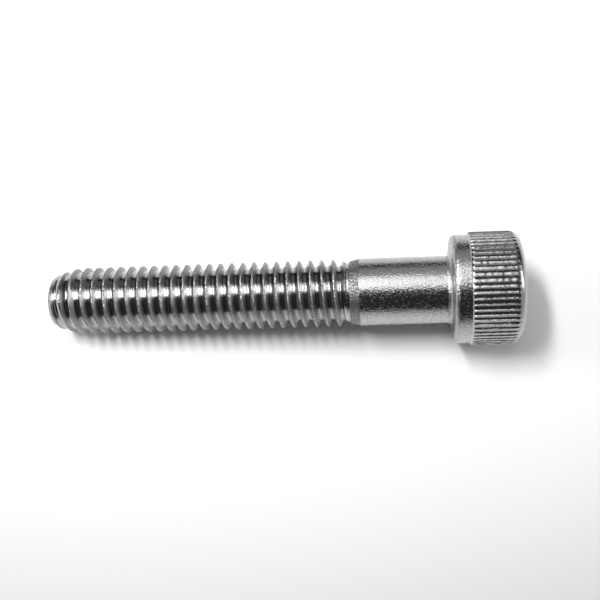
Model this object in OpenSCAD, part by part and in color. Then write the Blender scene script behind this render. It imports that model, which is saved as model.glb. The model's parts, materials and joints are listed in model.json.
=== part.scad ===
// Hex socket cap screw with a plain shank and a knurled head, M6 x 35.
// One cold-headed and thread-rolled piece, lying on its side as it comes to rest:
// the head's knurl and one thread crest near the tip touch the surface z = 0.
// +X is the way from the tip to the head, seen from above.

/* [Thread] */
// Diameter over the thread crests
thread_d = 5.9; // [5.6:0.01:6.0]
// Distance between neighbouring crests, single start, right-handed
thread_pitch = 1; // [0.8:0.05:1.2]
// Length from the tip to the end of the thread
thread_len = 26.25; // [12:0.05:30]
// Length over which the last turn fades into the neck
runout_len = 0.4; // [0.2:0.05:2.5]
// Where the first crest on the underside stands, measured from the tip
first_crest = 0.76; // [0.4:0.01:1.2]

/* [Tip] */
// Diameter of the flat end face
tip_face_d = 3.95; // [3:0.05:4.4]
// Length of the end chamfer
tip_chamfer_len = 0.45; // [0.2:0.05:0.6]
// Diameter where the chamfer meets the first turn
tip_chamfer_d = 4.88; // [4.6:0.02:5.2]
// Length from the tip to the first full crest
lead_len = 2.4; // [1:0.1:3]

/* [Shank] */
// Length from the tip to the underside of the head
screw_len = 35.35; // [32:0.05:60]
// Diameter of the plain shank
shank_d = 5.9; // [5.7:0.02:6.0]
// Diameter of the neck, where the thread ends
neck_d = 5.18; // [5.0:0.02:5.4]
// Length of the straight part of the neck
neck_len = 0.25; // [0.05:0.05:0.5]
// Height of the small step from the neck up to the cone
neck_step = 0.15; // [0.05:0.01:0.25]
// Length of that step
neck_step_len = 0.06; // [0.02:0.02:0.2]
// Length of the cone from the step to the shank
neck_cone_len = 0.85; // [0.5:0.05:2]
// Radius of the fillet under the head
fillet_r = 0.4; // [0.2:0.05:0.5]

/* [Head] */
// Height of the head
head_h = 5.95; // [5.6:0.05:7]
// Diameter over the knurl ridges
knurl_d = 9.92; // [9.8:0.02:10.3]
// Diameter of the plain band under the knurl
band_d = 9.48; // [9.2:0.02:9.6]
// Width of the plain band
band_len = 1.45; // [1:0.05:2]
// Radius of the edge round the bearing face
band_edge_r = 0.4; // [0.1:0.05:0.6]
// Length of the sloping ends of the ridges
ridge_end_len = 0.3; // [0.1:0.05:0.6]
// Number of ridges
ridge_count = 66; // [42:2:90]
// Depth of the V grooves between the ridges
groove_depth = 0.23; // [0.1:0.01:0.25]
// Width of the flat on top of each ridge
ridge_flat_w = 0.08; // [0.04:0.01:0.12]
// Radius of the rounded rim
rim_r = 1; // [0.5:0.1:1.5]

/* [Socket] */
// Width across the flats of the hexagon
socket_af = 5; // [4:0.5:5]
// Depth of the flats
socket_depth = 3.1; // [2.5:0.1:3.5]
// Length of the countersink at the mouth
socket_mouth_len = 0.3; // [0.1:0.05:0.5]
// Height of the cone at the bottom of the socket
socket_cone_h = 0.9; // [0.4:0.1:1.2]

/* [Hidden] */
$fn = 96;
// Joined shapes run this far into each other
overlap = 0.05;

// Metric thread form: 60 degree flanks, with a rolled crest and a rolled root, whose
// width and depth are shares of the pitch
flank_angle = 30;
crest_share = 0.165;
depth_share = 0.61;
crest_w = crest_share * thread_pitch;
thread_depth = depth_share * thread_pitch;
root_w = thread_pitch - crest_w - 2 * thread_depth * tan(flank_angle);
thread_r = thread_d / 2;
root_r = thread_r - thread_depth;
neck_r = neck_d / 2;
shank_r = shank_d / 2;

// One pitch of the profile: distance along the screw from the crest's start, and radius
PROFILE = [
    [0, thread_r],
    [crest_w, thread_r],
    [(thread_pitch + crest_w - root_w) / 2, root_r],
    [(thread_pitch + crest_w + root_w) / 2, root_r],
];
PROFILE_POINTS = len(PROFILE);
// Straight segments in one turn of the thread
TURN_STEPS = 36;
// A profile point nearer than this to an end of the thread is left out
end_gap = 0.03;
// The rings at the ends of the thread stay this far inside the chamfer and the neck
end_inset = 0.02;

// Stations along the screw, from the tip: the thread's two end rings lie inside the
// chamfer and the neck, so that each pair makes one body
ring_start = tip_chamfer_len - overlap;
ring_end = thread_len + overlap;
neck_end = thread_len + neck_len;
neck_cone_start = neck_end + neck_step_len;
shank_start = neck_cone_start + neck_cone_len;
knurl_start = screw_len + band_len;
ridge_start = knurl_start + ridge_end_len;
screw_end = screw_len + head_h;
band_r = band_d / 2;
knurl_r = knurl_d / 2;

// How it lies: a groove is lowest, so the head stands on two ridges, and the tip
// end stands on the first full crest
ridge_angle = 360 / ridge_count;
ridge_half_flat = asin(ridge_flat_w / 2 / knurl_r);
head_reach = knurl_r * cos(ridge_angle / 2 - ridge_half_flat);
full_crest = first_crest + thread_pitch * ceil((lead_len - first_crest) / thread_pitch);
tip_contact = full_crest - crest_w / 2;
lie_angle = atan((head_reach - thread_r) / (ridge_start - tip_contact));
lift = thread_r * cos(lie_angle) - tip_contact * sin(lie_angle);
back_x = -tip_face_d / 2 * sin(lie_angle);
front_x = (screw_end - rim_r) * cos(lie_angle) + (knurl_r - rim_r) * sin(lie_angle) + rim_r;
centre_x = (back_x + front_x) / 2;

// The largest radius that the blank allows near the tip
chamfer_slope = (tip_chamfer_d - tip_face_d) / 2 / tip_chamfer_len;
function lead_radius(z) = lookup(z, [
    [ring_start, tip_chamfer_d / 2 - chamfer_slope * overlap - end_inset],
    [tip_chamfer_len, tip_chamfer_d / 2 - end_inset],
    [lead_len, thread_r],
]);

// Share of the full thread form at height z, falling to nothing at the neck
function form_share(z) = min(1, max(0, (thread_len - z) / runout_len));

// Radius of the thread where the bare profile has radius r and the height is z
function thread_radius(r, z) = min(lead_radius(z), neck_r + (r - neck_r) * form_share(z));

// Profile points are numbered along the helix, so row i of step j stands at this height
first_row_z = first_crest - crest_w / 2 - 2 * thread_pitch;
function row_z(i, j) = first_row_z + thread_pitch * (floor(i / PROFILE_POINTS) + j / TURN_STEPS)
    + PROFILE[i % PROFILE_POINTS][0];

// Radius of the bare profile at any height z of step j
PROFILE_TURN = concat(PROFILE, [[thread_pitch, thread_r]]);
function profile_radius(z, j) =
    let (turns = (z - first_row_z) / thread_pitch - j / TURN_STEPS)
    lookup((turns - floor(turns)) * thread_pitch, PROFILE_TURN);

// A point on step j, at height z and radius r
function thread_point(j, z, r) =
    [r * cos(360 * j / TURN_STEPS), r * sin(360 * j / TURN_STEPS), z];

// The rows that lie between the two ends of the thread, at step j
ROWS = PROFILE_POINTS * (ceil((thread_len - first_row_z) / thread_pitch) + 1);
function rows_up_to(z, j) = len([for (i = [0:ROWS - 1]) if (row_z(i, j) <= z) i]);
LOW_ROW = [for (j = [0:TURN_STEPS - 1]) rows_up_to(tip_chamfer_len + end_gap, j)];
HIGH_ROW = [for (j = [0:TURN_STEPS - 1]) rows_up_to(thread_len - end_gap, j) - 1];
function low_row(j) = j < TURN_STEPS ? LOW_ROW[j] : LOW_ROW[0] - PROFILE_POINTS;
function high_row(j) = j < TURN_STEPS ? HIGH_ROW[j] : HIGH_ROW[0] - PROFILE_POINTS;

// Points: the ring at the tip end, the ring at the neck, then the rows of each step
TIP_RING = [for (j = [0:TURN_STEPS - 1]) thread_point(j, ring_start,
    thread_radius(profile_radius(ring_start, j), ring_start))];
NECK_RING = [for (j = [0:TURN_STEPS - 1]) thread_point(j, ring_end, neck_r - end_inset)];
THREAD_ROWS = [for (j = [0:TURN_STEPS - 1], i = [0:ROWS - 1])
    let (z = row_z(i, j))
    thread_point(j, z, thread_radius(PROFILE[i % PROFILE_POINTS][1], z))];

function tip_at(j) = j % TURN_STEPS;
function neck_at(j) = TURN_STEPS + j % TURN_STEPS;
// The last step joins the first one, one pitch of rows further on
function row_at(i, j) = 2 * TURN_STEPS
    + (j < TURN_STEPS ? j * ROWS + i : i + PROFILE_POINTS);

// The helical surface, in strips from one step to the next
HELIX_FACES = [for (j = [0:TURN_STEPS - 1], i = [low_row(j):high_row(j + 1) - 1])
    each [
        [row_at(i, j), row_at(i + 1, j), row_at(i + 1, j + 1)],
        [row_at(i, j), row_at(i + 1, j + 1), row_at(i, j + 1)],
    ]];
// Where the strips meet the ring at the tip end
TIP_FACES = [for (j = [0:TURN_STEPS - 1])
    let (a = low_row(j), b = low_row(j + 1))
    each concat(
        [[tip_at(j), row_at(a, j), row_at(a, j + 1)]],
        [for (i = [b:1:a - 1]) [tip_at(j), row_at(i + 1, j + 1), row_at(i, j + 1)]],
        [[tip_at(j), row_at(b, j + 1), tip_at(j + 1)]]
    )];
// Where the strips meet the ring at the neck
NECK_FACES = [for (j = [0:TURN_STEPS - 1])
    let (a = high_row(j), b = high_row(j + 1))
    each concat(
        [[row_at(b, j), neck_at(j + 1), row_at(b, j + 1)]],
        [for (i = [b:1:a - 1]) [row_at(i, j), row_at(i + 1, j), neck_at(j + 1)]],
        [[row_at(a, j), neck_at(j), neck_at(j + 1)]]
    )];
END_FACES = [
    [for (j = [0:TURN_STEPS - 1]) j],
    [for (j = [TURN_STEPS - 1:-1:0]) TURN_STEPS + j],
];

module thread() {
    polyhedron(
        points = concat(TIP_RING, NECK_RING, THREAD_ROWS),
        faces = concat(HELIX_FACES, TIP_FACES, NECK_FACES, END_FACES)
    );
}

module tip_chamfer() {
    cylinder(h = tip_chamfer_len, d1 = tip_face_d, d2 = tip_chamfer_d);
}

// Neck, step, cone and plain shank, with the fillet that carries the head
module shank() {
    rotate_extrude() {
        polygon([
            [0, thread_len],
            [neck_r, thread_len],
            [neck_r, neck_end],
            [neck_r + neck_step, neck_cone_start],
            [shank_r, shank_start],
            [shank_r, screw_len + overlap],
            [0, screw_len + overlap],
        ]);
        difference() {
            translate([shank_r - overlap, screw_len - fillet_r])
                square([fillet_r + overlap, fillet_r + overlap]);
            translate([shank_r + fillet_r, screw_len - fillet_r])
                circle(r = fillet_r);
        }
    }
}

// Half section of the plain band, with its rounded edge at the bearing face
module band_section() {
    difference() {
        translate([0, screw_len])
            square([band_r, band_len]);
        difference() {
            translate([band_r - band_edge_r, screw_len - overlap])
                square([band_edge_r + overlap, band_edge_r + overlap]);
            translate([band_r - band_edge_r, screw_len + band_edge_r])
                circle(r = band_edge_r);
        }
    }
}

// Half section of the knurled part, with sloping ridge ends and a rounded rim; its
// middle reaches down into the band
module knurl_section() {
    difference() {
        polygon([
            [0, knurl_start - overlap],
            [band_r / 2, knurl_start - overlap],
            [band_r / 2, knurl_start],
            [band_r, knurl_start],
            [knurl_r, ridge_start],
            [knurl_r, screw_end],
            [0, screw_end],
        ]);
        difference() {
            translate([knurl_r - rim_r, screw_end - rim_r])
                square([rim_r + overlap, rim_r + overlap]);
            translate([knurl_r - rim_r, screw_end - rim_r])
                circle(r = rim_r);
        }
    }
}

// Outline of the knurl: straight flanks from each groove to the ridge flats beside it,
// carried on past the flats so that the section above trims them round
groove_r = knurl_r - groove_depth;
flank_run = ridge_angle / 2 - ridge_half_flat;
// Share of a flank by which it is carried on
flank_over = 0.2;
function at_angle(r, a) = [r * cos(a), r * sin(a)];
function past(p, q, share) = q + (q - p) * share;
module knurl_outline() {
    polygon([for (i = [0:ridge_count - 1])
        let (
            a = i * ridge_angle,
            groove = at_angle(groove_r, a),
            before = at_angle(knurl_r, a - flank_run),
            after = at_angle(knurl_r, a + flank_run)
        )
        each [past(groove, before, flank_over), groove, past(groove, after, flank_over)]
    ]);
}

// Hexagon with a corner up, a countersunk mouth and a coned bottom
module socket() {
    corner_d = socket_af / cos(180 / 6);
    translate([0, 0, screw_end - socket_depth])
        cylinder(h = socket_depth + overlap, d = corner_d, $fn = 6);
    translate([0, 0, screw_end - socket_depth - socket_cone_h])
        cylinder(h = socket_cone_h + overlap, d1 = 0, d2 = socket_af - end_inset);
    mouth_d = 2 * corner_d - socket_af;
    mouth_slope = (mouth_d - socket_af) / socket_mouth_len;
    translate([0, 0, screw_end - socket_mouth_len])
        cylinder(h = socket_mouth_len + overlap, d1 = socket_af,
            d2 = mouth_d + mouth_slope * overlap);
}

module head() {
    difference() {
        union() {
            rotate_extrude()
                band_section();
            intersection() {
                rotate_extrude()
                    knurl_section();
                translate([0, 0, screw_len])
                    linear_extrude(height = head_h + overlap)
                        knurl_outline();
            }
        }
        socket();
    }
}

module cap_screw() {
    color([0.72, 0.72, 0.72])
        translate([-centre_x, 0, lift])
            rotate([0, 90 - lie_angle, 0])
                union() {
                    thread();
                    tip_chamfer();
                    shank();
                    head();
                }
}

cap_screw();
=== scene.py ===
"""Hex socket cap screw in rolled stainless steel, lying on a pale sheet under studio light."""

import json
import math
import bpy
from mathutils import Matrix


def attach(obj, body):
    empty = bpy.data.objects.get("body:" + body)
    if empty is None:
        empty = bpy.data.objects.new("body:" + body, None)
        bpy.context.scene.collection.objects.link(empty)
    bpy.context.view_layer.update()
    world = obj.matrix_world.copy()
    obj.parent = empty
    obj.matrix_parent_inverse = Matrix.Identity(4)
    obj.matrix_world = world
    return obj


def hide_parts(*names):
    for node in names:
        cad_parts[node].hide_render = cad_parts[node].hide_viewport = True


bl_info = {
    "name": "Hex Socket Cap Screw",
    "version": (1, 0, 0),
    "blender": (4, 5, 0),
    "location": "View3D > Sidebar > Cap Screw",
    "description": "Builds a knurled hex socket cap screw with a rolled thread, and its stage",
    "category": "Add Mesh",
}

import bpy
import numpy as np
from bpy.props import FloatProperty, FloatVectorProperty, IntProperty, PointerProperty
from mathutils import Euler, Matrix, Vector, noise

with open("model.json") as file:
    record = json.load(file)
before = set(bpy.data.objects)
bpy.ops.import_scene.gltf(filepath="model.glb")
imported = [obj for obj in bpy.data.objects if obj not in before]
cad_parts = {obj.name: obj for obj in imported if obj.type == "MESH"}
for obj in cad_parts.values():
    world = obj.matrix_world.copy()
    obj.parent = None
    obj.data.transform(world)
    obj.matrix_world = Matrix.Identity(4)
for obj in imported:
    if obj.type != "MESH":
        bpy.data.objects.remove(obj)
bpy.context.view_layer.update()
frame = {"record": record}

MM = 0.001
NODE = "cap_screw"
BODY = "root"
# Rows of the thread near an end of it fall together with the ring at that end
THREAD_SNAP = 0.012 * MM
# The shallow crests near the tip stay as the blank was: up to this share of the lead, and
# where the surface is this close to the blank
UNCUT_LEAD = 0.75
UNCUT_GAP = 0.001 * MM
# Waves of the crest's seam for each radian of the helix
SEAM_WAVES = 7
# Half of the foot of a ridge, as a share of the distance between ridges
RIDGE_FOOT = 0.14
# Columns of the mesh for each ridge, as shares of that distance: up to the bearing face,
# and from there on, where they are closer together on the ridges
SHANK_COLUMNS = [0, 0.5]
HEAD_COLUMNS = [0, 0.36, 0.41, 0.455, 0.5, 0.545, 0.59, 0.64]
KNURL_ROWS = 26
# Lumps in the grooves: how many for each millimetre, how far apart neighbouring grooves are
# in the noise, and the length over which the lumps begin
LUMPS_ALONG = 4.2
LUMPS_ROUND = 17
LUMPS_START = 0.3 * MM
# Leans from the vertical, in degrees, where the wall at the back and the band overhead
# begin, are full, start to fade and end
WALL_LEANS = (25, 35, 66, 75)
BAND_LEANS = (-12, -6, 28, 36)
# Finishes of the faces, in the order of the material slots
ROLLED, CREST, SHEARED, ROUGH, TUMBLED, CORNER, KNURLED, FORMED = range(8)


def length(name, description, default):
    """A size of the screw or its stage, in metres"""
    return FloatProperty(
        name=name, description=description, default=default, min=0, unit="LENGTH", precision=5
    )


def amount(name, description, default, top=1.0):
    """A share, strength or level without a unit"""
    return FloatProperty(name=name, description=description, default=default, min=0, max=top)


def angle(name, description, degrees):
    """An angle, given in degrees and kept in radians"""
    return FloatProperty(
        name=name, description=description, default=math.radians(degrees), subtype="ANGLE"
    )


class ScrewSizes(bpy.types.PropertyGroup):
    """Sizes of the screw"""

    thread_d: length("Thread diameter", "Diameter over the crests of the thread", 5.9 * MM)
    pitch: length("Pitch", "Distance from one crest to the next", 1.0 * MM)
    crest_w: length("Crest width", "Width of the flat on the crests", 0.125 * MM)
    thread_depth: length("Thread depth", "From the crests to the bottom of the root", 0.61 * MM)
    thread_len: length("Thread length", "From the tip to the end of the run-out", 26.25 * MM)
    runout_len: length("Run-out", "Length over which the thread fades out", 0.4 * MM)
    first_crest: length("First crest", "From the tip to the first crest, underneath", 0.76 * MM)
    crest_round: length("Crest rounding", "Radius between the crest and the flanks", 0.06 * MM)
    root_round: length("Root rounding", "Radius of the rolled root", 0.113 * MM)
    seam_depth: length("Crest seam", "Depth of the seam that rolling leaves", 0.012 * MM)
    tip_face_d: length("Tip face", "Diameter of the flat face at the tip", 3.95 * MM)
    tip_edge_r: length("Tip edge", "Radius of the edge round the tip's face", 0.3 * MM)
    tip_chamfer_len: length("Tip chamfer", "Length of the chamfer at the tip", 0.45 * MM)
    tip_chamfer_d: length("Chamfer diameter", "Diameter where the chamfer ends", 4.88 * MM)
    lead_len: length("Lead", "Length over which the crests grow to full height", 2.4 * MM)
    neck_d: length("Neck diameter", "Diameter of the neck at the end of the thread", 5.18 * MM)
    neck_len: length("Neck length", "Length of the neck", 0.25 * MM)
    neck_step: length("Neck step", "Height of the step from the neck up to the cone", 0.15 * MM)
    neck_step_len: length("Step length", "Length of that step", 0.06 * MM)
    neck_cone_len: length("Neck cone", "Length of the cone up to the shank", 0.85 * MM)
    screw_len: length("Length", "From the tip to the bearing face", 35.35 * MM)
    shank_d: length("Shank diameter", "Diameter of the plain shank", 5.9 * MM)
    fillet_r: length("Fillet", "Radius under the head", 0.4 * MM)
    head_h: length("Head height", "Height of the head", 5.95 * MM)
    band_d: length("Band diameter", "Diameter of the plain band of the head", 9.48 * MM)
    band_len: length("Band length", "Length of the plain band", 1.45 * MM)
    band_edge_r: length("Band edge", "Radius of the edge at the bearing face", 0.4 * MM)
    knurl_d: length("Knurl diameter", "Diameter over the ridges of the head", 9.92 * MM)
    ridge_end_len: length("Ridge ends", "Length over which the ridges rise", 0.18 * MM)
    ridge_count: IntProperty(
        name="Ridges", description="Number of ridges round the head", default=66, min=24, max=90
    )
    groove_depth: length("Groove depth", "Depth of the grooves between ridges", 0.065 * MM)
    lump_height: length("Lumps", "Height of the lumps that knurling leaves in grooves", 0.025 * MM)
    rim_r: length("Rim", "Radius of the rounded rim of the head", 1 * MM)
    socket_af: length("Socket", "Width across the flats of the hexagon", 5 * MM)
    socket_depth: length("Socket depth", "Depth of the flats of the hexagon", 3.1 * MM)
    socket_mouth_len: length("Socket mouth", "Depth of the countersink", 0.3 * MM)
    socket_cone_h: length("Socket cone", "Height of the cone below the flats", 0.9 * MM)


class SteelFinish(bpy.types.PropertyGroup):
    """Colour and surface of the steel"""

    steel: FloatVectorProperty(
        name="Steel",
        description="Colour of clean stainless steel",
        default=(0.44, 0.44, 0.44),
        subtype="COLOR",
        min=0,
        max=1,
    )
    grain_size: length("Grain", "Size of the marks that tumbling leaves", 0.11 * MM)
    grain_depth: length("Grain depth", "Depth of the marks that tumbling leaves", 0.016 * MM)
    polish: amount("Polish", "Roughness of the rolled flanks", 0.14)
    satin: amount("Satin", "Roughness of the tumbled faces", 0.2)


class StageLook(bpy.types.PropertyGroup):
    """Sheet, lamps, surroundings and camera"""

    sheet_colour: FloatVectorProperty(
        name="Sheet",
        description="Colour of the sheet near the screw",
        default=(0.95, 0.95, 0.95),
        subtype="COLOR",
        min=0,
        max=1,
    )
    # Painted shade: this colour and the next four set a painted falloff of light, where the sheet
    # greys with distance from its middle
    painted_falloff_colour: FloatVectorProperty(
        name="Table",
        description="Colour that the sheet fades to",
        default=(0.2, 0.2, 0.2),
        subtype="COLOR",
        min=0,
        max=1,
    )
    painted_pool_middle: FloatVectorProperty(
        name="Sheet middle",
        description="Where the sheet is palest",
        default=(-8 * MM, 15 * MM, 0),
        subtype="TRANSLATION",
        unit="LENGTH",
        precision=5,
    )
    painted_pool_r: length("Sheet radius", "Distance at which the sheet starts to fade", 18 * MM)
    painted_falloff_len: length("Fade", "Length over which the sheet fades", 60 * MM)
    most_painted_falloff: amount("Most fade", "Share of the table's colour that the sheet reaches", 0.4)
    floor_size: length("Floor", "Side of the floor", 1.2)
    lamp_distance: length("Lamp distance", "From the screw to the lamps", 0.4)
    strip_width: angle("Strip width", "Width of the strip lamp as seen from the screw", 5)
    strip_span: angle("Strip span", "Length of the strip lamp as seen from the screw", 23)
    strip_back: angle("Strip back", "Lean of the strip lamp to the back", 7)
    strip_side: angle("Strip side", "Lean of the strip lamp to the tip's side", 22)
    strip_level: amount("Strip level", "Radiance of the strip lamp", 56, top=100)
    panel_width: angle("Panel width", "Width of the panel lamp as seen from the screw", 36)
    panel_span: angle("Panel span", "Length of the panel lamp as seen from the screw", 42)
    panel_back: angle("Panel back", "Lean of the panel lamp to the back", 10)
    panel_side: angle("Panel side", "Lean of the panel lamp to the tip's side", 10)
    panel_level: amount("Panel level", "Radiance of the panel lamp", 2, top=100)
    room_level: amount("Room level", "Radiance of the dark room", 0.03)
    back_level: amount("Back level", "Radiance of the grey wall high at the back", 0.42)
    band_level: amount("Band level", "Radiance of the pale band above the screw", 0.6)
    tip_level: amount("Tip level", "Radiance of the band low at the tip's end", 7, top=100)
    head_level: amount("Head level", "Radiance of the band low at the head's end", 4.4, top=100)
    side_level: amount("Side level", "Radiance of the grey walls at both ends", 0.45)
    lens: FloatProperty(
        name="Lens", description="Focal length of the camera", default=48.62, min=1, unit="CAMERA"
    )
    camera_at: FloatVectorProperty(
        name="Camera",
        description="Place of the camera",
        default=(5.262 * MM, -23.371 * MM, 71.976 * MM),
        subtype="TRANSLATION",
        unit="LENGTH",
        precision=5,
    )
    camera_turn: FloatVectorProperty(
        name="Camera turn",
        description="Turn of the camera from looking straight down",
        default=(0.3235, 0.0067, -0.011),
        subtype="EULER",
    )
    camera_shift: FloatProperty(
        name="Camera shift", description="Sideways shift of the picture", default=-0.0698
    )


# The screw's own frame: z runs along the axis from the tip, and x points down


def mount(name):
    """A mount of the part's record"""
    return next(m for m in frame["record"]["mounts"] if m["name"] == name)


def screw_frame(sizes):
    """Takes a point of the screw's own frame to the place where it lies"""
    socket = mount("hex_socket")
    along = Vector(socket["axis"]).normalized()
    across = Vector((0, 1, 0))
    down = across.cross(along)
    tip = Vector(socket["pos_m"]) - along * (sizes.screw_len + sizes.head_h)
    turn = Matrix((down, across, along)).transposed().to_4x4()
    return Matrix.Translation(tip) @ turn


# Mesh of the screw


class Skin:
    """Rings of points round the screw's axis, and the faces that join them"""

    def __init__(self):
        self.points = []
        self.faces = []
        self.finishes = []

    def ring(self, height, radius, turns):
        """Adds one point for each turn, which is an angle, and gives the points' numbers"""
        first = len(self.points)
        height = np.broadcast_to(height, turns.shape)
        radius = np.broadcast_to(radius, turns.shape)
        self.points += list(zip(radius * np.cos(turns), radius * np.sin(turns), height))
        return first + np.arange(len(turns))

    def face(self, corners, finish):
        """Adds a face, without the corners that fall together"""
        kept = [c for i, c in enumerate(corners) if c != corners[i - 1]]
        if len(kept) > 2:
            self.faces.append(kept)
            self.finishes.append(finish)

    def join(self, low, high, finish):
        """Joins two rings, of which the second may have several points for each of the first"""
        ratio = len(high) // len(low)
        for i in range(len(low)):
            j = (i + 1) % len(low)
            top = [high[(i * ratio + k) % len(high)] for k in range(ratio, -1, -1)]
            self.face([low[i], low[j], *top], finish)

    def lathe(self, ring, profile, turns, finish):
        """Goes on from a ring through the profile's heights and radii; gives the last ring"""
        for height, radius in profile:
            after = self.ring(height, radius, turns)
            self.join(ring, after, finish)
            ring = after
        return ring


def arc(height, radius, bend, start, end, steps):
    """Heights and radii on an arc round a point of the section, angles in degrees from outward"""
    angles = np.radians(np.linspace(start, end, steps + 1))
    return [(height + bend * math.sin(a), radius + bend * math.cos(a)) for a in angles]


def thread_profile(sizes):
    """Distance from the crest's middle, and depth below the crest, over one pitch"""
    pitch = sizes.pitch
    flat = sizes.crest_w / 2 - sizes.crest_round * math.tan(math.radians(30))
    depth = sizes.thread_depth
    crest = [
        (flat + sizes.crest_round * math.sin(a), sizes.crest_round * (1 - math.cos(a)))
        for a in np.radians([0, 30, 60])
    ]
    root = [
        (pitch / 2 - sizes.root_round * math.sin(a), depth - sizes.root_round * (1 - math.cos(a)))
        for a in np.radians([60, 38, 18])
    ]
    half = crest + root
    left = [(-x, h) for x, h in reversed(half)]
    return left + [(0, 0)] + half + [(pitch / 2, depth)]


def blank_radius(sizes, height):
    """Largest radius that the chamfered blank allows near the tip"""
    heights = np.array([0, sizes.tip_chamfer_len, sizes.lead_len])
    radii = np.array([sizes.tip_face_d, sizes.tip_chamfer_d, sizes.thread_d]) / 2
    # The mean over a short length rounds the corner between the chamfer and the lead
    spread = np.linspace(-1, 1, 7) * sizes.tip_edge_r
    return np.mean([np.interp(height + d, heights, radii) for d in spread], axis=0)


def thread_radius(sizes, height, depth):
    """Radius at a height for a depth below the crest, with lead-in and run-out"""
    neck_r = sizes.neck_d / 2
    share = np.clip((sizes.thread_len - height) / sizes.runout_len, 0, 1)
    full = neck_r + (sizes.thread_d / 2 - depth - neck_r) * share
    return np.minimum(blank_radius(sizes, height), full)


def thread(skin, sizes, low_ring, turns):
    """The helical surface from the ring at the tip's edge; gives the ring at the neck"""
    pitch = sizes.pitch
    profile = thread_profile(sizes)
    rows_per_pitch = len(profile)
    offsets = np.array([x for x, _ in profile])
    depths = np.array([h for _, h in profile])
    low, high = sizes.tip_edge_r, sizes.thread_len
    turn_count = math.ceil((high - low) / pitch) + 3
    rows = np.arange(turn_count * rows_per_pitch)
    crest = sizes.first_crest + pitch * (rows // rows_per_pitch - 2)
    heights = (crest + offsets[rows % rows_per_pitch])[:, None] + pitch * turns[None, :] / math.tau
    depth = np.broadcast_to(depths[rows % rows_per_pitch][:, None], heights.shape).copy()
    seam_row = int(np.argmin(np.abs(offsets)))
    finishes = np.full(rows_per_pitch, ROLLED)
    finishes[seam_row - 3:seam_row + 3] = CREST
    for row in range(seam_row, len(rows), rows_per_pitch):
        for column in range(len(turns)):
            travel = (row // rows_per_pitch + turns[column] / math.tau) * math.tau
            wave = 0.5 + noise.noise(Vector((travel * SEAM_WAVES, 3.7, 0)))
            depth[row, column] += sizes.seam_depth * min(1, max(0, 1.6 * wave))
    radius = thread_radius(sizes, heights, depth)
    near_blank = radius > blank_radius(sizes, heights) - UNCUT_GAP
    uncut = near_blank & (heights < UNCUT_LEAD * sizes.lead_len)
    high_ring = skin.ring(high, sizes.neck_d / 2, turns)
    number = np.empty((len(rows) + rows_per_pitch, len(turns)), dtype=int)
    number[len(rows):] = high_ring
    for row in rows:
        for column in range(len(turns)):
            height = heights[row, column]
            if height < low + THREAD_SNAP:
                number[row, column] = low_ring[column]
            elif height > high - THREAD_SNAP:
                number[row, column] = high_ring[column]
            else:
                number[row, column] = len(skin.points)
                r = radius[row, column]
                a = turns[column]
                skin.points.append((r * math.cos(a), r * math.sin(a), height))
    # The column after the last one is the first one, a pitch further on
    number = np.hstack([number[: len(rows)], number[rows_per_pitch:, :1]])
    for row in range(len(rows) - 1):
        finish = finishes[row % rows_per_pitch]
        for column in range(len(turns)):
            a, b = number[row, column], number[row, column + 1]
            c, d = number[row + 1, column + 1], number[row + 1, column]
            blank = uncut[row, column] and uncut[row + 1, column]
            skin.face([a, b, c, d], SHEARED if blank else finish)
    return high_ring


def ridge_turns(sizes, shares):
    """Angles of the mesh's columns, from their shares of the distance between ridges"""
    ridges = range(sizes.ridge_count)
    return np.array([(i + s) * math.tau / sizes.ridge_count for i in ridges for s in shares])


def knurl_outline(sizes, turns):
    """Radius over the ridges: narrow rounded ridges with broad grooves between them"""
    share = (turns * sizes.ridge_count / math.tau) % 1
    rise = 0.5 + 0.5 * np.cos(math.pi * np.minimum(1, np.abs(share - 0.5) / RIDGE_FOOT))
    return sizes.knurl_d / 2 - sizes.groove_depth * (1 - rise), rise


def knurl(skin, sizes, ring, turns):
    """Ridges from the band to the rounded rim; gives the ring where the flat top starts"""
    start = sizes.screw_len + sizes.band_len
    end = sizes.screw_len + sizes.head_h
    knurl_r = sizes.knurl_d / 2
    outline, rise = knurl_outline(sizes, turns)
    slope = [
        (start + sizes.ridge_end_len * s, sizes.band_d / 2 + (knurl_r - sizes.band_d / 2) * s)
        for s in (0.08, 0.68, 1)
    ]
    ridge_start = start + sizes.ridge_end_len
    ridge_len = end - sizes.rim_r - ridge_start
    straight = [
        (ridge_start + ridge_len * k / KNURL_ROWS, knurl_r) for k in range(1, KNURL_ROWS)
    ]
    rim = arc(end - sizes.rim_r, knurl_r - sizes.rim_r, sizes.rim_r, 0, 90, 11)
    for height, radius in slope + straight + rim:
        along = LUMPS_ALONG * height / MM
        spots = [
            Vector((along, LUMPS_ROUND * math.cos(a), LUMPS_ROUND * math.sin(a))) for a in turns
        ]
        lumps = np.array([noise.noise(spot) + 0.6 * noise.noise(2.3 * spot) for spot in spots])
        # The step from the band stays even; the lumps begin past it
        lumpy = min(1, max(0, (height - ridge_start) / LUMPS_START))
        cut = outline + sizes.lump_height * lumpy * lumps * (1 - rise)
        after = skin.ring(height, np.minimum(radius, cut), turns)
        skin.join(ring, after, KNURLED)
        ring = after
    return ring


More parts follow.
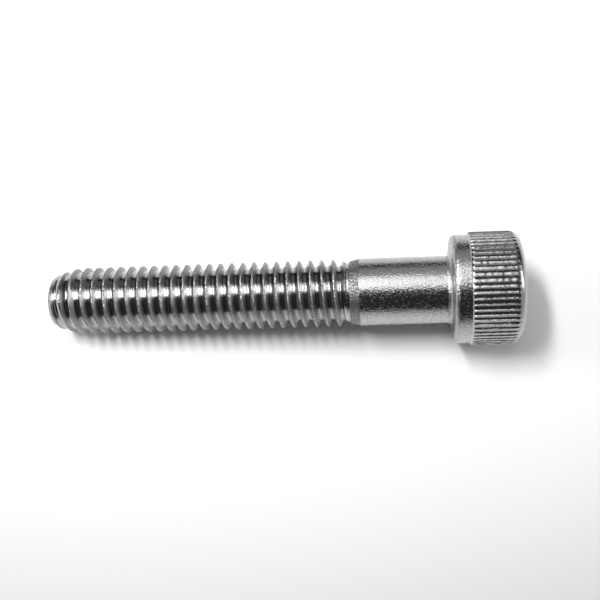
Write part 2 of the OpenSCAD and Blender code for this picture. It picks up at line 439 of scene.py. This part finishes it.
def socket(skin, sizes, ring, turns):
    """Countersink, six flats and coned bottom"""
    end = sizes.screw_len + sizes.head_h
    flat_r = sizes.socket_af / 2
    corner_r = flat_r / math.cos(math.radians(30))
    hexagon = flat_r / np.cos(turns % (math.tau / 6) - math.tau / 12)
    mouth_r = 2 * corner_r - flat_r
    mouth_depth = sizes.socket_mouth_len * (mouth_r - hexagon) / (mouth_r - flat_r)
    bottom = end - sizes.socket_depth
    wall_rows = 4
    ring = skin.lathe(ring, [(end, mouth_r)], turns, TUMBLED)
    walls = [
        (end - mouth_depth + (bottom - end + mouth_depth) * k / wall_rows, hexagon)
        for k in range(wall_rows + 1)
    ]
    cone = [(bottom, 0.996 * flat_r), (bottom - 0.5 * sizes.socket_cone_h, flat_r / 2)]
    ring = skin.lathe(ring, walls + cone, turns, FORMED)
    middle = skin.ring(bottom - sizes.socket_cone_h, 0, np.zeros(1))
    skin.join(ring, np.repeat(middle, len(ring)), FORMED)


def screw_skin(sizes):
    """All of the screw, from the middle of the tip to the bottom of the socket"""
    skin = Skin()
    turns = ridge_turns(sizes, SHANK_COLUMNS)
    head_turns = ridge_turns(sizes, HEAD_COLUMNS)
    tip_r = sizes.tip_face_d / 2
    shank_r = sizes.shank_d / 2
    bearing = sizes.screw_len
    middle = np.repeat(skin.ring(0, 0, np.zeros(1)), len(turns))
    edge_r = sizes.tip_edge_r
    chamfer_r = float(blank_radius(sizes, edge_r))
    tip_edge = [
        (edge_r * (1 - math.cos(a)), tip_r - edge_r + (chamfer_r - tip_r + edge_r) * math.sin(a))
        for a in np.radians([0, 30, 60, 90])
    ]
    ring = skin.lathe(middle, [(0, tip_r / 2), *tip_edge], turns, SHEARED)
    ring = thread(skin, sizes, ring, turns)
    neck_end = sizes.thread_len + sizes.neck_len
    cone_start = neck_end + sizes.neck_step_len
    shank_start = cone_start + sizes.neck_cone_len
    cone_r = sizes.neck_d / 2 + sizes.neck_step
    neck = [
        (sizes.thread_len + sizes.neck_len * 0.5, sizes.neck_d / 2),
        (neck_end, sizes.neck_d / 2),
        (neck_end + 0.5 * sizes.neck_step_len, (sizes.neck_d / 2 + cone_r) / 2),
        (cone_start, cone_r),
    ]
    cone = [
        (cone_start + s * sizes.neck_cone_len, cone_r * (1 - s) + shank_r * s)
        for s in (0.05, 0.33, 0.66, 0.97, 1)
    ]
    shank_len = bearing - sizes.fillet_r - shank_start
    shank = [
        (shank_start + shank_len * s, shank_r)
        for s in (0.005, 0.2, 0.4, 0.6, 0.8, 0.995)
    ]
    fillet = [
        (
            bearing - sizes.fillet_r * (1 - math.sin(a)),
            shank_r + sizes.fillet_r * (1 - math.cos(a)),
        )
        for a in np.radians(np.linspace(0, 90, 7))
    ]
    ring = skin.lathe(ring, neck, turns, TUMBLED)
    ring = skin.lathe(ring, cone, turns, ROUGH)
    ring = skin.lathe(ring, shank, turns, TUMBLED)
    ring = skin.lathe(ring, fillet, turns, CORNER)
    band_r = sizes.band_d / 2
    bend = sizes.band_edge_r
    edge = arc(bearing + bend, band_r - bend, bend, -90, 0, 7)
    band = [(bearing + sizes.band_len * s, band_r) for s in (0.5, 0.75, 0.985, 1)]
    ring = skin.lathe(ring, edge, head_turns, CORNER)
    ring = skin.lathe(ring, band, head_turns, TUMBLED)
    ring = knurl(skin, sizes, ring, head_turns)
    socket(skin, sizes, ring, head_turns)
    return skin


# Materials


def put(tree, kind, inputs=None, **settings):
    """Adds a shader node. An input is set to a value, or linked if it is given a socket"""
    made = tree.nodes.new("ShaderNode" + kind)
    for name, value in settings.items():
        setattr(made, name, value)
    for key, value in (inputs or {}).items():
        if isinstance(value, bpy.types.NodeSocket):
            tree.links.new(value, made.inputs[key])
        else:
            made.inputs[key].default_value = value
    return made


def work_out(tree, operation, *values):
    """A Math node's result"""
    return put(tree, "Math", dict(enumerate(values)), operation=operation).outputs[0]


def fit_range(tree, value, low, high, to_low=0.0, to_high=1.0):
    """Eases from one level to another while a value goes from low to high"""
    inputs = {0: value, 1: low, 2: high, 3: to_low, 4: to_high}
    return put(tree, "MapRange", inputs, interpolation_type="SMOOTHSTEP").outputs[0]


def between(tree, value, start, full, fade, end):
    """One from full to fade, and nothing before start and after end"""
    rising = fit_range(tree, value, start, full)
    return work_out(tree, "MULTIPLY", rising, fit_range(tree, value, end, fade))


def new_group(name, inputs, outputs):
    """A shader node group with its sockets; gives it with its input and output nodes"""
    group = bpy.data.node_groups.new(name, "ShaderNodeTree")
    for socket_name, kind, default in inputs:
        kind = "NodeSocket" + kind
        made = group.interface.new_socket(socket_name, in_out="INPUT", socket_type=kind)
        made.default_value = default
    for socket_name, kind in outputs:
        kind = "NodeSocket" + kind
        group.interface.new_socket(socket_name, in_out="OUTPUT", socket_type=kind)
    entry = group.nodes.new("NodeGroupInput")
    leave = group.nodes.new("NodeGroupOutput")
    return group, entry.outputs, leave.inputs


def use_group(tree, group, inputs=None):
    """Places a node group; gives its outputs"""
    made = tree.nodes.new("ShaderNodeGroup")
    made.node_tree = group
    for key, value in (inputs or {}).items():
        if isinstance(value, bpy.types.NodeSocket):
            tree.links.new(value, made.inputs[key])
        else:
            made.inputs[key].default_value = value
    return made.outputs


def place_group(sizes):
    """Where a point is on the screw, in millimetres and radians"""
    outputs = [("Place", "Vector"), ("Along", "Float"), ("Around", "Float"), ("Radius", "Float")]
    group, _, leave = new_group("screw_place", [], outputs)
    where = screw_frame(sizes)
    coordinates = put(group, "TexCoord").outputs["Object"]
    mapping = put(group, "Mapping", {
        "Vector": coordinates,
        "Location": where.to_translation(),
        "Rotation": where.to_euler(),
        "Scale": (MM, MM, MM),
    }, vector_type="TEXTURE").outputs[0]
    parts = put(group, "SeparateXYZ", {0: mapping}).outputs
    # The angle jumps on the underside, where x is above zero
    around = work_out(
        group, "ARCTAN2",
        work_out(group, "MULTIPLY", parts[1], -1.0),
        work_out(group, "MULTIPLY", parts[0], -1.0),
    )
    flat = put(group, "CombineXYZ", {0: parts[0], 1: parts[1]}).outputs[0]
    radius = put(group, "VectorMath", {0: flat}, operation="LENGTH").outputs["Value"]
    group.links.new(mapping, leave["Place"])
    group.links.new(parts[2], leave["Along"])
    group.links.new(around, leave["Around"])
    group.links.new(radius, leave["Radius"])
    return group


def grain_group(place):
    """Fine overlapping marks that tumbling leaves, stretched along the screw"""
    group, entry, leave = new_group(
        "tumbled_grain",
        [("Grain", "Float", 0.1), ("Stretch", "Float", 1.5)],
        [("Height", "Float"), ("Fleck", "Float")],
    )
    where = use_group(group, place)
    finer = work_out(group, "DIVIDE", 1.0, entry["Grain"])
    along = work_out(group, "DIVIDE", finer, entry["Stretch"])
    scale = put(group, "CombineXYZ", {0: finer, 1: finer, 2: along}).outputs[0]
    spot = put(group, "VectorMath", {0: where["Place"], 1: scale}, operation="MULTIPLY").outputs[0]
    fine = put(group, "TexNoise", {"Vector": spot, "Scale": 0.75, "Detail": 1.0, "Roughness": 0.6})
    broad = put(group, "TexNoise", {"Vector": spot, "Scale": 0.3, "Detail": 1.0})
    cells = put(group, "TexVoronoi", {"Vector": spot, "Scale": 0.9}, feature="SMOOTH_F1")
    height = work_out(
        group, "ADD",
        fine.outputs[0],
        work_out(group, "MULTIPLY_ADD", broad.outputs[0], 0.4,
                 work_out(group, "MULTIPLY", cells.outputs["Distance"], 0.4)),
    )
    group.links.new(height, leave["Height"])
    group.links.new(fit_range(group, fine.outputs[0], 0.52, 0.68), leave["Fleck"])
    return group


def rolling_group(place, sizes):
    """Marks along the thread: streaks, and where the flank is duller"""
    group, entry, leave = new_group(
        "rolling_marks",
        [("Streaks", "Float", 1.0)],
        [("Height", "Float"), ("Dull", "Float"), ("Streak", "Float")],
    )
    where = use_group(group, place)
    pitch = sizes.pitch / MM
    # The angle runs from the top side, half a turn from where the crests are counted
    turned = work_out(group, "MULTIPLY_ADD", where["Around"], pitch / math.tau, pitch / 2)
    wound = work_out(group, "SUBTRACT", where["Along"], turned)
    crest = work_out(group, "SUBTRACT", wound, sizes.first_crest / MM)
    off = work_out(group, "WRAP", crest, pitch / 2, -pitch / 2)
    streak_place = put(group, "CombineXYZ", {
        0: work_out(group, "MULTIPLY", wound, 16.0),
        1: work_out(group, "MULTIPLY", where["Radius"], 16.0),
        2: work_out(group, "MULTIPLY", where["Around"], 1.5),
    }).outputs[0]
    streak_noise = {"Vector": streak_place, "Scale": 1.0, "Detail": 2.0}
    streak = put(group, "TexNoise", streak_noise).outputs[0]
    # The upper part of the flank on the head's side is duller than the rest
    dull = between(group, off, 0.05, 0.09, 0.24, 0.34)
    height = work_out(group, "MULTIPLY", streak, entry["Streaks"])
    group.links.new(height, leave["Height"])
    group.links.new(dull, leave["Dull"])
    group.links.new(streak, leave["Streak"])
    return group


def new_material(name):
    """A material with its node tree and its surface shader"""
    material = bpy.data.materials.new(name)
    material.use_nodes = True
    tree = material.node_tree
    return material, tree, tree.nodes["Principled BSDF"]


def blend_colours(tree, share, first, second):
    """A colour between two, by a share that changes over the surface"""
    mix = tree.nodes.new("ShaderNodeMix")
    mix.data_type = "RGBA"
    tree.links.new(share, mix.inputs[0])
    mix.inputs[6].default_value = (*first, 1)
    mix.inputs[7].default_value = (*second, 1)
    return mix.outputs[2]


def bump(tree, height, distance):
    """A normal that follows marks of a given depth"""
    return put(tree, "Bump", {"Height": height, "Distance": distance, "Strength": 1.0}).outputs[0]


def rolled_steel(finish, rolling):
    """Thread: burnished, with streaks along the helix"""
    material, tree, surface = new_material("rolled_thread")
    marks = use_group(tree, rolling, {"Streaks": 1.0})
    dark = tuple(c * 0.6 for c in finish.steel)
    colour = blend_colours(tree, marks["Dull"], finish.steel, dark)
    tree.links.new(colour, surface.inputs["Base Color"])
    surface.inputs["Metallic"].default_value = 1
    streaky = fit_range(tree, marks["Streak"], 0.3, 0.7, finish.polish * 0.8, finish.polish * 1.3)
    rough = work_out(tree, "MULTIPLY_ADD", marks["Dull"], finish.polish * 1.5, streaky)
    tree.links.new(rough, surface.inputs["Roughness"])
    tree.links.new(bump(tree, marks["Height"], 0.002 * MM), surface.inputs["Normal"])
    return material


def grained_steel(
    finish, grain, name, size, stretch, depth, rough, fleck_rough, fleck, shade
):
    """Steel with the marks of tumbling; sizes and depths are shares of the finish's own"""
    material, tree, surface = new_material(name)
    marks = use_group(tree, grain, {"Grain": size * finish.grain_size / MM, "Stretch": stretch})
    pale = tuple(c * shade for c in finish.steel)
    dull = tuple(c * shade * fleck for c in finish.steel)
    tree.links.new(blend_colours(tree, marks["Fleck"], pale, dull), surface.inputs["Base Color"])
    surface.inputs["Metallic"].default_value = 1
    roughness = fit_range(
        tree, marks["Fleck"], 0, 1, rough * finish.satin, fleck_rough * finish.satin
    )
    tree.links.new(roughness, surface.inputs["Roughness"])
    normal = bump(tree, marks["Height"], depth * finish.grain_depth)
    tree.links.new(normal, surface.inputs["Normal"])
    return material


def screw_materials(sizes, finish):
    """The finishes, in the order of their numbers"""
    place = place_group(sizes)
    grain = grain_group(place)
    rolling = rolling_group(place, sizes)
    grained = [
        # Name, size, stretch and depth of the marks, roughness, roughness and shade of the
        # flecks, shade
        ("thread_crest", 0.75, 1.0, 4.0, 1.2, 3.0, 0.2, 0.95),
        ("sheared_tip", 1.0, 1.0, 2.0, 0.9, 3.0, 0.5, 0.8),
        ("rough_neck", 1.0, 1.1, 3.6, 2.0, 3.4, 0.55, 0.55),
        ("tumbled_steel", 0.85, 1.5, 1.2, 0.9, 2.0, 0.85, 1.0),
        ("rough_corner", 1.0, 1.0, 2.5, 1.6, 3.0, 0.7, 1.0),
        ("knurled_steel", 1.0, 1.6, 0.12, 1.0, 1.5, 0.85, 1.0),
        ("formed_socket", 1.0, 6.0, 0.3, 1.5, 2.0, 0.8, 1.0),
    ]
    materials = [rolled_steel(finish, rolling)]
    return materials + [grained_steel(finish, grain, *row) for row in grained]


class SCREW_OT_cap_screw(bpy.types.Operator):
    """Build the cap screw with its thread, knurled head and socket"""

    bl_idname = "screw.add_cap_screw"
    bl_label = "Add Cap Screw"

    def execute(self, context):
        sizes = context.scene.screw_sizes
        finish = context.scene.steel_finish
        skin = screw_skin(sizes)
        mesh = bpy.data.meshes.new("cap_screw_body")
        mesh.from_pydata(skin.points, [], skin.faces)
        mesh.transform(screw_frame(sizes))
        mesh.polygons.foreach_set("material_index", skin.finishes)
        for material in screw_materials(sizes, finish):
            mesh.materials.append(material)
        mesh.shade_smooth()
        mesh.set_sharp_from_angle(angle=math.radians(50))
        if mesh.validate():
            raise RuntimeError("the screw's mesh has faces that don't hold together")
        screw = bpy.data.objects.new("cap_screw_visual", mesh)
        context.scene.collection.objects.link(screw)
        smooth = screw.modifiers.new("even_shading", "WEIGHTED_NORMAL")
        smooth.keep_sharp = True
        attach(screw, BODY)
        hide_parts(NODE)
        return {"FINISHED"}


# Stage


def painted_falloff_sheet_material(look):
    """Pale sheet with painted shade: its colour greys away from a point beside the screw, a
    painted falloff of light
    """
    material, tree, surface = new_material("pale_sheet_painted_falloff")
    coordinates = put(tree, "TexCoord").outputs["Object"]
    from_middle = put(
        tree, "VectorMath", {0: coordinates, 1: look.painted_pool_middle}, operation="SUBTRACT"
    ).outputs[0]
    # The painted falloff of light is half as fast along the screw
    squeezed = put(
        tree, "VectorMath", {0: from_middle, 1: (0.5, 1, 1)}, operation="MULTIPLY"
    ).outputs[0]
    away = put(tree, "VectorMath", {0: squeezed}, operation="LENGTH").outputs["Value"]
    # Painted shade: the share of grey grows with distance from the middle, a painted falloff of
    # light, up to a fixed most
    share = fit_range(tree, away, look.painted_pool_r, look.painted_pool_r + look.painted_falloff_len)
    share = work_out(tree, "MINIMUM", share, look.most_painted_falloff)
    colour = blend_colours(tree, share, look.sheet_colour, look.painted_falloff_colour)
    tree.links.new(colour, surface.inputs["Base Color"])
    surface.inputs["Roughness"].default_value = 0.9
    surface.inputs["Specular IOR Level"].default_value = 0.1
    return material


def lean_frame(side, back):
    """Axes of a lamp that leans from the vertical: x stays level, z points at the lamp"""
    outward = Vector((-math.tan(side), math.tan(back), 1)).normalized()
    level = Vector((1, 0, 0))
    level = (level - outward * level.dot(outward)).normalized()
    return Matrix((level, outward.cross(level), outward)).transposed(), outward


def add_lamp(context, name, look, side, back, width, span, level):
    """A rectangular lamp that faces the screw, with a radiance"""
    data = bpy.data.lights.new(name, "AREA")
    data.shape = "RECTANGLE"
    data.size = 2 * look.lamp_distance * math.tan(width / 2)
    data.size_y = 2 * look.lamp_distance * math.tan(span / 2)
    data.energy = level * math.pi * data.size * data.size_y
    lamp = bpy.data.objects.new(name, data)
    turn, outward = lean_frame(side, back)
    lamp.matrix_world = Matrix.Translation(outward * look.lamp_distance) @ turn.to_4x4()
    context.scene.collection.objects.link(lamp)
    return lamp


def dim_room(context, look):
    """World: a dark room with grey walls at the back and the ends, and a pale band overhead"""
    world = bpy.data.worlds.new("dim_room")
    world.use_nodes = True
    context.scene.world = world
    tree = world.node_tree
    direction = put(tree, "TexCoord").outputs["Generated"]
    parts = put(tree, "SeparateXYZ", {0: direction}).outputs
    lean = work_out(tree, "ARCTAN2", parts[1], parts[2])
    sideways = work_out(tree, "ABSOLUTE", parts[0])
    wall = between(tree, lean, *map(math.radians, WALL_LEANS))
    wall = work_out(tree, "MULTIPLY", wall, fit_range(tree, sideways, 0.26, 0.14))
    band = between(tree, lean, *map(math.radians, BAND_LEANS))
    band = work_out(tree, "MULTIPLY", band, fit_range(tree, sideways, 0.35, 0.5))
    # The band is brighter low down at both ends of the screw
    ends = work_out(
        tree, "MAXIMUM",
        fit_range(tree, parts[0], -0.75, -0.9, look.band_level, look.tip_level),
        fit_range(tree, parts[0], 0.75, 0.9, look.band_level, look.head_level),
    )
    # Grey walls at both ends, but not at the back
    walls = work_out(
        tree, "MAXIMUM",
        fit_range(tree, parts[0], 0.45, 0.65),
        fit_range(tree, parts[0], -0.9, -0.98),
    )
    walls = work_out(tree, "MULTIPLY", walls, fit_range(tree, parts[1], 0.45, 0.25))
    level = work_out(tree, "MULTIPLY_ADD", wall, look.back_level, look.room_level)
    level = work_out(tree, "MULTIPLY_ADD", band, ends, level)
    level = work_out(tree, "MULTIPLY_ADD", walls, look.side_level, level)
    tree.links.new(level, tree.nodes["Background"].inputs["Strength"])
    tree.nodes["Background"].inputs["Color"].default_value = (1, 1, 1, 1)


class SCREW_OT_stage(bpy.types.Operator):
    """Build the sheet, the lamps, the room and the camera"""

    bl_idname = "screw.add_stage"
    bl_label = "Add Stage"

    def execute(self, context):
        look = context.scene.stage_look
        half = look.floor_size / 2
        mesh = bpy.data.meshes.new("pale_sheet_painted_falloff")
        corners = [(-half, -half, 0), (half, -half, 0), (half, half, 0), (-half, half, 0)]
        mesh.from_pydata(corners, [], [(0, 1, 2, 3)])
        mesh.materials.append(painted_falloff_sheet_material(look))
        sheet = bpy.data.objects.new("pale_sheet_painted_falloff", mesh)
        context.scene.collection.objects.link(sheet)
        add_lamp(context, "strip_lamp", look, look.strip_side, look.strip_back,
                 look.strip_width, look.strip_span, look.strip_level)
        add_lamp(context, "panel_lamp", look, look.panel_side, look.panel_back,
                 look.panel_width, look.panel_span, look.panel_level)
        dim_room(context, look)
        data = bpy.data.cameras.new("camera")
        data.sensor_width = 36
        data.lens = look.lens
        data.shift_x = look.camera_shift
        data.clip_start = 5 * MM
        data.clip_end = 5
        camera = bpy.data.objects.new("camera", data)
        turn = Euler(look.camera_turn).to_matrix().to_4x4()
        camera.matrix_world = Matrix.Translation(look.camera_at) @ turn
        context.scene.collection.objects.link(camera)
        context.scene.camera = camera
        context.scene.view_settings.view_transform = "Standard"
        return {"FINISHED"}


class SCREW_PT_panel(bpy.types.Panel):
    """Lists the sizes, the finish and the stage, with their operators"""

    bl_idname = "SCREW_PT_panel"
    bl_label = "Cap Screw"
    bl_space_type = "VIEW_3D"
    bl_region_type = "UI"
    bl_category = "Cap Screw"

    def draw(self, context):
        groups = [
            (context.scene.screw_sizes, SCREW_OT_cap_screw),
            (context.scene.steel_finish, None),
            (context.scene.stage_look, SCREW_OT_stage),
        ]
        for group, operator in groups:
            column = self.layout.column(align=True)
            for name in group.__annotations__:
                column.prop(group, name)
            if operator:
                self.layout.operator(operator.bl_idname)


CLASSES = (
    ScrewSizes,
    SteelFinish,
    StageLook,
    SCREW_OT_cap_screw,
    SCREW_OT_stage,
    SCREW_PT_panel,
)


def register():
    for cls in CLASSES:
        bpy.utils.register_class(cls)
    bpy.types.Scene.screw_sizes = PointerProperty(type=ScrewSizes)
    bpy.types.Scene.steel_finish = PointerProperty(type=SteelFinish)
    bpy.types.Scene.stage_look = PointerProperty(type=StageLook)


def unregister():
    del bpy.types.Scene.stage_look
    del bpy.types.Scene.steel_finish
    del bpy.types.Scene.screw_sizes
    for cls in reversed(CLASSES):
        bpy.utils.unregister_class(cls)


def main():
    register()
    bpy.ops.screw.add_cap_screw()
    bpy.ops.screw.add_stage()


if __name__ == "__main__":
    main()
